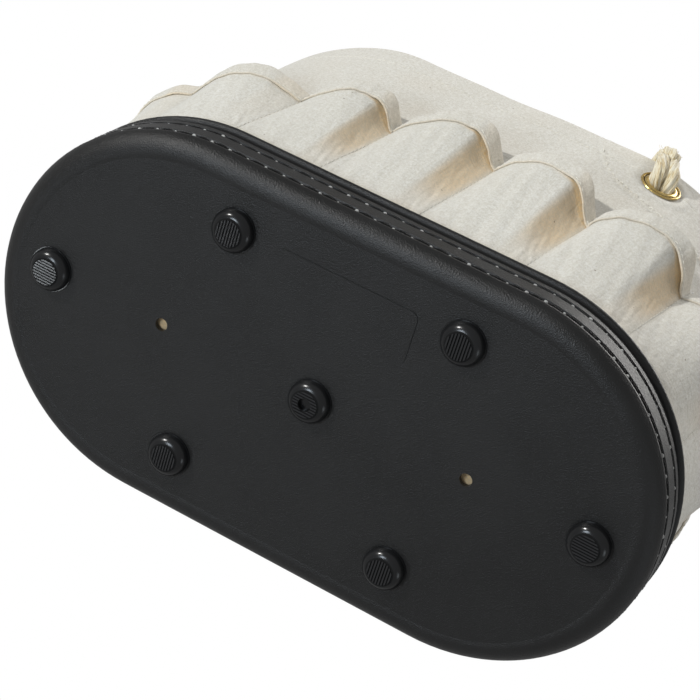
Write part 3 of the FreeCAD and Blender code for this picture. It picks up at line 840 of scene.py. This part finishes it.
def make_wall_panel(half):
    """One canvas panel of the wall, with its top edge folded in over the hem."""
    start = -0.25 if half == "front" else 0.25
    share = np.linspace(start, start + 0.5, PANEL_COLUMNS)
    low, fold_z, fold_r = PAN_INNER_Z + 0.002, RIM_Z - HEM_T / 2, (HEM_T - WALL_T) / 2
    up = np.concatenate([np.arange(low, 0.190, 0.0028), np.arange(0.190, fold_z, 0.0011)])
    rows = [(z, -WALL_T / 2, 1.0) for z in up]
    for turn in np.linspace(0, math.pi, 7):
        rows.append((fold_z + fold_r * math.sin(turn), -HEM_T / 2 + fold_r * math.cos(turn), 0.3))
    inside = np.arange(fold_z - 0.002, RIM_Z - HEM_DEPTH, -0.0022)
    rows += [(z, -HEM_T + WALL_T / 2, 0.3) for z in inside]
    points, cloth = [], []
    length = 0.0
    for k, (z, off, relief) in enumerate(rows):
        if k:
            length += math.hypot(z - rows[k - 1][0], off - rows[k - 1][1])
        heights = np.full_like(share, z)
        line, _ = wall(share, heights, off + relief * wall_relief(share, heights))
        points.append(line)
        cloth.append(np.stack([share * WALL_ROUND, np.full_like(share, length), 0 * share], -1))
    points, cloth = np.array(points), np.array(cloth)
    keep = np.ones((len(rows) - 1, len(share) - 1), bool)
    for _, grommet_share in GROMMETS:
        face, _, out, _ = wall_axes(grommet_share, GROMMET_Z)
        middle = (points[:-1, :-1] + points[1:, 1:]) / 2 - face
        away = np.linalg.norm(middle - (middle @ out)[..., None] * out, axis=-1)
        keep &= (away > 0.0099) | (np.linalg.norm(middle, axis=-1) > 0.03)
    flat = points.reshape(-1, 3)
    # Random tan blotches over the wall: the cloth's own uneven tone.
    shade = 0.10 * np.clip(ripple(flat, 30.0, 4), 0, 1)
    piece = make_piece(f"canvas_panel_{half}", flat, grid_faces(len(rows), len(share), keep=keep),
                       WALL_CANVAS, "root", [f"canvas_wall_{half}"],
                       {"cloth": cloth.reshape(-1, 3), "tint_and_painted_shade": shade})
    thicken(piece, WALL_T)


def make_hem_stitches():
    """Threads of the rim's hem and of the patch behind each grommet."""
    shapes = Shapes()
    pitch, length = 0.0036, 0.0028
    count = round(WALL_ROUND / pitch)
    for k in range(count):
        share = k / count
        place, normal = wall(share, HEM_STITCH_Z, wall_relief(share, HEM_STITCH_Z) - 0.00005)
        add_stitch(shapes, place, np.cross((0, 0, 1.0), normal), normal, length, 0.00024, 0.0003)
    for _, start in GROMMETS:
        for d in np.arange(0.0, 0.100, 0.0042):
            share = start - GROMMET_SHARE + 0.052 + d / WALL_ROUND
            here, there = patch_edge(share), patch_edge(share + 0.002)
            place, normal = wall(share, here - 0.0003, wall_relief(share, here))
            ahead, _ = wall(share + 0.002, there - 0.0003, wall_relief(share + 0.002, there))
            along = (ahead - place) / np.linalg.norm(ahead - place)
            add_stitch(shapes, place, along, normal, 0.0031, 0.00036, 0.0002)
    make_piece("wall_stitches", shapes.points, shapes.faces, CREAM_THREAD)


def make_floor_cloth():
    """The doubled canvas on the pan floor, sewn round its edge and a little uneven."""
    rings, around, thickness = 40, 240, 0.0012
    centre, radius = PAN_CENTRE, WALL_R - WALL_T - 0.0009
    angle = np.linspace(0, 1, around, endpoint=False)
    edge, _ = stadium(angle * (4 * centre + TURN * radius), centre, radius)
    middle = np.stack([np.clip(edge[:, 0], -centre, centre) * 0.98, 0 * angle, 0 * angle], -1)
    out_share = (np.arange(rings + 1) / rings) ** 0.8
    points = np.array([middle + (edge - middle) * t for t in out_share]).reshape(-1, 3)
    depth = np.repeat(out_share, around)
    points[:, 2] = FLOOR_Z - 0.0007 + 0.0006 * ripple(points, 34.0, 8) + 0.0004 * ripple(points, 90.0, 9)
    points[:, 2] -= 0.0008 * peak(depth, 0.94, 0.008)
    cloth = points * (1, 1, 0)
    # Painted shade: tan round each drain hole, where the cloth is seen in shadow through the hole, and a
    # little towards the edge by the wall.
    drain_shade = 1 - ease(np.hypot(np.abs(points[:, 0]) - DRAIN_X, points[:, 1]), 0.006, 0.010)
    tint_and_painted_shade = np.maximum(drain_shade, 0.2 * ease(depth, 0.9, 1.0))
    piece = make_piece("floor_cloth", points, grid_faces(rings + 1, around, wrap=True), WALL_CANVAS,
                       "root", ["canvas_floor"], {"cloth": cloth, "tint_and_painted_shade": tint_and_painted_shade})
    thicken(piece, thickness)


# ---- outside pockets ----
POCKET_LOW_Z = PAN_TOP_Z + 0.0004
POCKET_T = 0.0011
POCKET_HEM = 0.011
HEM_GAP = 0.00125
SEAM_OFF = 0.0009
# Height of the band's edge at its front seams and at the two to their left; the others vary a
# little about MOUTH_Z.
FRONT_MOUTHS = (0.138, 0.150, 0.160, 0.144, 0.153)
LEFT_MOUTHS = {14: 0.137, 15: 0.130}
MOUTH_Z = 0.154
CREST_RISE = 0.008
BULGE = 0.0230
SEAM_LEAN = 0.0095       # share of the way round that a seam's foot lies behind its top
BAND_ROUND = 1.10        # metres round the wall at the pockets
TACK_ROUND = 1.08        # metres round the wall at the bar tacks
WEAVE_FULLNESS, FLAT_FULLNESS = 1.2, 1.24      # a panel's width against the wall it covers
OUTLINE_SAMPLES = 401
# A pocket's outline as shares of its width and of its bulge: at the mouth, and below it.
MOUTH_OUTLINE = ((0, 0), (0.09, 0.38), (0.16, 0.55), (0.31, 0.80), (0.45, 0.93), (0.61, 0.99),
                 (0.71, 1.0), (0.78, 0.93), (0.84, 0.76), (0.91, 0.38), (0.96, 0.14), (1, 0))
BODY_OUTLINE = ((0, 0), (0.05, 0.19), (0.13, 0.43), (0.27, 0.76), (0.42, 0.94), (0.57, 1.0),
                (0.695, 0.985), (0.735, 0.88), (0.79, 0.60), (0.85, 0.31), (0.90, 0.15),
                (0.95, 0.06), (1, 0))
# Bulge, lean of the outline and steepness of its right side, for the pockets seen in the
# photograph and for 6, which stays out of sight behind the pan there.
FRONT_SHAPES = {14: (0.40, 1.0, 0.1), 15: (0.50, 0.9, 0.1), 0: (0.80, 1.05, 0.9),
                1: (0.88, 0.97, 1.0), 2: (1.0, 1.0, 1.0), 3: (0.90, 0.82, 1.0), 6: (0.35, 1.0, 0.2)}
LOOSE_SEAMS = {14: 0.006, 15: 0.0065}     # how far a seam's top hangs off the wall


def outline(table):
    """A smooth curve through an outline's points, as samples from 0 to 1."""
    at = np.linspace(-0.1, 1.1, 601)
    line = np.interp(at, *zip(*table))
    weights = np.exp(-(np.arange(-20, 21) / 6.0) ** 2)
    line = np.convolve(line, weights / weights.sum(), "same")
    inside = np.interp(np.linspace(0, 1, OUTLINE_SAMPLES), at, line)
    return inside - np.linspace(inside[0], inside[-1], OUTLINE_SAMPLES)


OUTLINES = outline(MOUTH_OUTLINE), outline(BODY_OUTLINE)


def mouth_height(index):
    """Height of the band's edge at a seam."""
    index %= POCKETS
    if index < len(FRONT_MOUTHS):
        return FRONT_MOUTHS[index]
    if index in LEFT_MOUTHS:
        return LEFT_MOUTHS[index]
    return MOUTH_Z + 0.007 * noise.noise(Vector((index * 1.37, 4.2, 0.7)))


class Pocket:
    """One bulging stretch of the pocket band between two seams."""

    def __init__(self, index):
        draw = random.Random(100 + index)
        any_shape = draw.uniform(0.78, 1.0), draw.uniform(0.85, 1.1), draw.uniform(0.1, 0.5)
        factor, self.warp, self.cliff = FRONT_SHAPES.get(index, any_shape)
        self.bulge = BULGE * factor
        self.loose = LOOSE_SEAMS.get(index, 0.0), LOOSE_SEAMS.get((index + 1) % POCKETS, 0.0)
        self.fill = 0.65 if index == 14 else draw.uniform(1.05, 1.35)
        self.lift = draw.uniform(0.7, 1.3)
        self.seams = seam_share(index), seam_share(index + 1)
        self.mouths = mouth_height(index), mouth_height(index + 1)
        self.seed = 11.0 + 3 * index

    def surface(self, u, t):
        """Middle of the cloth at u across (0 to 1) and t up (0 to 1), and the outward wall normal."""
        u, t = np.broadcast_arrays(np.asarray(u, float), np.asarray(t, float))
        turn = u * math.pi
        x = 0.5 - 0.5 * np.cos(turn)
        up = np.clip(t, 0, 1)
        rise = CREST_RISE * (0.1 + 0.9 * self.cliff)
        top = self.mouths[0] + (self.mouths[1] - self.mouths[0]) * x + rise * np.sin(turn) ** 2
        z = POCKET_LOW_Z + t * (top - POCKET_LOW_Z)
        share = self.seams[0] + (self.seams[1] - self.seams[0]) * x - SEAM_LEAN * (1 - up)
        body = np.sin(turn)
        warped = np.clip(x, 0, 1) ** self.warp
        at = warped * (OUTLINE_SAMPLES - 1)
        mouth, lower = (np.interp(at, np.arange(OUTLINE_SAMPLES), line) for line in OUTLINES)
        near_mouth = ease(t, 0.84, 1.0)
        arch = mouth * near_mouth + lower * (1 - near_mouth)
        arch = arch * self.cliff + np.sin(warped * math.pi) ** 1.15 * (1 - self.cliff)
        full = 0.03 + 0.97 * up ** self.fill
        loose = self.loose[0] + (self.loose[1] - self.loose[0]) * x
        off = SEAM_OFF + self.bulge * full * arch + loose * up ** 2
        place = np.stack([share * 60, t * 1.6, 0 * t + self.seed], -1)
        long_fold = np.stack([share * 170 + t * 2.5, t * 1.3, 0 * t + self.seed + 5], -1)
        small = np.stack([share * 330 + t * 5.0, t * 6.5, 0 * t + self.seed + 9], -1)
        off = off + body * (0.0013 * (0.35 + up) * ripple(place, 1.0, 2)
                            + 0.0008 * ripple(long_fold, 1.0, 3))
        pucker = np.exp(-up / 0.10) * np.sin(x * math.pi * 8 + self.seed) * (0.5 + ripple(place, 2.3, 6))
        off = off + 0.0010 * body * pucker
        crumple = peak(x, 0.90, 0.075) + 0.5 * peak(x, 0.07, 0.06)
        off = off + 0.0013 * crumple * body ** 0.5 * (1.15 - up) * ripple(small, 1.0, 7)
        return wall(share, z, off)

    def facing(self, u, t):
        """Outward normal of the cloth, turned to the wall's normal at the seams."""
        step = 0.004
        du = self.surface(np.clip(u + step, 0, 1), t)[0] - self.surface(np.clip(u - step, 0, 1), t)[0]
        dt = self.surface(u, t + step)[0] - self.surface(u, t - step)[0]
        face = np.cross(du, dt)
        face /= np.linalg.norm(face, axis=-1)[..., None] + 1e-12
        wall_normal = self.surface(u, t)[1]
        face = face * np.sign((face * wall_normal).sum(-1))[..., None]
        at_seam = (1 - ease(np.minimum(u, 1 - u), 0.0, 0.16))[..., None]
        mixed = face * (1 - at_seam) + wall_normal * at_seam
        return mixed / np.linalg.norm(mixed, axis=-1)[..., None]

    def hem(self, u, down):
        """Middle of the folded hem at a distance down from the mouth, and its outward direction."""
        height = 0.5 * sum(self.mouths) - POCKET_LOW_Z
        t = 1 - down / height
        points = self.surface(u, t)[0]
        face = self.facing(u, t)
        share = np.clip(down / POCKET_HEM, 0, 1)
        flank = peak(u, 0.72, 0.085)
        place = np.stack([u * 5 + self.seed, 0 * u, 0 * u], -1)
        lift = share ** 2 * self.lift * self.cliff * (0.0044 * flank + 0.0002 * ripple(place, 1.0, 4))
        return points + face * (HEM_GAP + lift)[..., None], face


def make_pocket(index):
    """A pocket panel: tucked into the pan, bulging, and hemmed with its top edge folded to the outside.
    Its tan tint is painted warm shade on the right-hand flank and under the hem's lower edge, plus plain tan
    at the bottom and on the hem.
    """
    pocket = Pocket(index)
    u = np.linspace(0, 1, 85)
    rows, cloth, tint_and_painted_shade = [], [], []
    width = (pocket.seams[1] - pocket.seams[0]) * BAND_ROUND
    across = pocket.seams[0] * BAND_ROUND + u * width * WEAVE_FULLNESS

    def add_row(points, height, shade):
        rows.append(points)
        cloth.append(np.stack([across, np.full_like(u, height), 0 * u], -1))
        tint_and_painted_shade.append(np.clip(shade, 0, 1))

    x = 0.5 - 0.5 * np.cos(u * math.pi)
    share = pocket.seams[0] + (pocket.seams[1] - pocket.seams[0]) * x - SEAM_LEAN
    # The rows tucked into the pan get a plain tan tint.
    for z in (PAN_TOP_Z - 0.006, PAN_TOP_Z - 0.003, PAN_TOP_Z - 0.001):
        add_row(wall(share, np.full_like(u, z), 0.0009)[0], z - POCKET_LOW_Z, 0.5 + 0 * u)
    height = 0.5 * sum(pocket.mouths) - POCKET_LOW_Z
    # Where the painted warm shade lies: the right-hand flank, and a little by the left seam.
    flank = ease(x, 0.685, 0.775) * (1 - 0.5 * ease(x, 0.93, 1.0)) + 0.3 * (1 - ease(x, 0.0, 0.06))
    for t in np.linspace(0, 1, 74):
        down = (1 - t) * height
        # Painted shade under the hem's lower edge, where it stands off the cloth.
        slit_shade = ease(down, POCKET_HEM - 0.005, POCKET_HEM - 0.001)
        slit_shade = slit_shade * (1 - ease(down, POCKET_HEM, POCKET_HEM + 0.002))
        # Painted warm shade on the flank, growing up to about half way; plain tan at the very bottom; painted
        # shade under the hem's edge, stronger on its right.
        flank_shade = flank * (0.10 + 0.68 * ease(t, 0.12, 0.55))
        tan_and_painted_shade = (0.30 * np.exp(-t / 0.04) + pocket.cliff * (flank_shade + slit_shade * ease(u, 0.5, 0.68))
                 + 0.12 * slit_shade)
        add_row(pocket.surface(u, np.full_like(u, t))[0], t * height, tan_and_painted_shade)
    tip, face = pocket.surface(u, np.ones_like(u))[0], pocket.facing(u, np.ones_like(u))
    before = pocket.surface(u, np.full_like(u, 0.985))[0]
    up = tip - before
    up /= np.linalg.norm(up, axis=-1)[..., None]
    for turn in np.linspace(0, math.pi, 7)[1:-1]:
        points = tip + face * (HEM_GAP / 2 * (1 - math.cos(turn))) + up * (HEM_GAP / 2 * math.sin(turn))
        # A slight even tan on the hem's turn.
        add_row(points, height + turn * HEM_GAP / 2, 0.10 + 0 * u)
    for down in np.linspace(0, POCKET_HEM, 12):
        # On the hem: a slight even tan, painted shade towards its lower edge and painted warm shade on the
        # flank.
        edge = 0.25 * ease(down, POCKET_HEM * 0.93, POCKET_HEM)
        points, _ = pocket.hem(u, np.full_like(u, down))
        add_row(points, height + 0.003 + down, 0.04 + edge + 0.2 * flank)
    flat = np.array(rows).reshape(-1, 3)
    piece = make_piece(f"pocket_panel_{index + 1:02d}", flat, grid_faces(len(rows), len(u)),
                       POCKET_CANVAS, "root", [f"outer_pocket_{index + 1:02d}"],
                       {"cloth": np.array(cloth).reshape(-1, 3), "tint_and_painted_shade": np.array(tint_and_painted_shade).ravel()})
    thicken(piece, POCKET_T)


def make_pocket_stitches():
    """Thread along each pocket's hem and down each seam."""
    shapes = Shapes()
    for index in range(POCKETS):
        pocket = Pocket(index)
        u = np.linspace(0.03, 0.97, 200)
        line, faces = pocket.hem(u, np.full_like(u, POCKET_HEM - 0.0022))
        along = lengths_along(line)
        for s in np.arange(0.002, along[-1] - 0.002, 0.0040):
            place, ahead = at_length(line, along, s), at_length(line, along, s + 0.001)
            normal = at_length(faces, along, s)
            direction = (ahead - place) / np.linalg.norm(ahead - place)
            add_stitch(shapes, place + normal * (POCKET_T / 2), direction, normal, 0.0028, 0.00022, 0.0003)
        for z in np.arange(PAN_TOP_Z + 0.004, pocket.mouths[0] - 0.002, 0.0042):
            up = (z - POCKET_LOW_Z) / (pocket.mouths[0] - POCKET_LOW_Z)
            place, normal = wall(pocket.seams[0] - SEAM_LEAN * (1 - up), z, SEAM_OFF + POCKET_T / 2)
            add_stitch(shapes, place, (0, 0, 1.0), normal, 0.0031, 0.00026, 0.0003)
    make_piece("pocket_stitches", shapes.points, shapes.faces, CREAM_THREAD)


def make_bar_tacks():
    """A zigzag of white thread on the wall above each seam."""
    shapes = Shapes()
    for index in range(POCKETS):
        draw = random.Random(300 + index)
        low = mouth_height(index) + 0.0035
        path = []
        for k in range(9):
            share = seam_share(index) + (-0.0036 + 0.0011 * k) / TACK_ROUND
            z = low + (0.0036 if k % 2 else 0.0) + 0.0005 * k + draw.uniform(-0.0005, 0.0005)
            path.append(wall(share, z, 0.0005)[0])
        add_tube(shapes, even_path(np.array(path), 0.0004), 0.00042, 7)
    make_piece("zigzag_tacks", shapes.points, shapes.faces, WHITE_THREAD, "root",
               ["pocket_bar_tacks"])


# ---- pan ----
# A knot's arch, in its own radii: along the row, and out.
KNOT_ARCH = ((-1.3, -1), (-0.5, 0.5), (0.5, 0.5), (1.3, -1))


def make_pan_stitches(node, z):
    """Heavy black stitches in a groove of the pan, each dipping into its holes, with a pale knot at each hole
    as a painted glint.
    """
    draw = random.Random(round(z * 1e5))
    radius = PAN_HALF_W - GROOVE_DEPTH
    around = 4 * PAN_CENTRE + TURN * radius
    shapes, glint_knots = Shapes(), Shapes()
    for k in range(STITCHES_PER_ROW):
        distance = (k + 0.5) * around / STITCHES_PER_ROW
        place, normal = stadium(np.array(distance), PAN_CENTRE, radius)
        place = place + np.array((0, 0, z))
        along = np.cross((0, 0, 1.0), normal)
        along = along + np.array((0, 0, draw.uniform(-0.05, 0.05)))
        length = STITCH_LEN * draw.uniform(1.04, 1.16)
        for ply in range(2):
            path = []
            for t in np.linspace(-1, 1, 17):
                twist = math.pi * (ply + 2.2 * t)
                lift = 0.0011 - 0.0022 * abs(t) ** 4
                path.append(place + along * (t * length / 2) + normal * (lift + 0.00042 * math.sin(twist))
                            + np.array((0, 0, 0.00042 * math.cos(twist))))
            add_tube(shapes, path, 0.00066, 8)
        # A pale knot at each hole stands in for the glint on the thread there: a painted highlight.
        hole = place + along * (0.5 * around / STITCHES_PER_ROW)
        size = draw.choice((0.0004, 0.0005, 0.0006, 0.0007))
        path = [hole + along * (a * size) + normal * (0.0009 + b * size) for a, b in KNOT_ARCH]
        add_tube(glint_knots, smooth_path(path, 0.0002), size, 8)
    make_piece(f"{node}_thread", shapes.points, shapes.faces, BLACK_THREAD, "root",
               [node])
    make_piece(f"{node}_knots", glint_knots.points, glint_knots.faces, PALE_GLINT_THREAD)


def paint_cad():
    """Materials of the CAD nodes that stay in view."""
    for name, node in frame["nodes"].items():
        if name == "base_pan":
            material, slot = PAN_PLASTIC, "pan_plastic"
        elif name.startswith("foot_"):
            material, slot = FOOT_PLASTIC, "foot_plastic"
        else:
            continue
        node.data.materials.clear()
        node.data.materials.append(material)


# ---- the whole scene ----
make_camera()
make_handle()
for side, share in GROMMETS:
    make_eye(side, share)
    make_cap(side, share)
    make_knob(side, share)
    make_grommet(side, share)
make_light()
make_floor()
for half in ("front", "back"):
    make_wall_panel(half)
make_hem_stitches()
make_floor_cloth()
for index in range(POCKETS):
    make_pocket(index)
make_pocket_stitches()
make_bar_tacks()
for node, z in STITCH_ROWS.items():
    make_pan_stitches(node, z)
paint_cad()
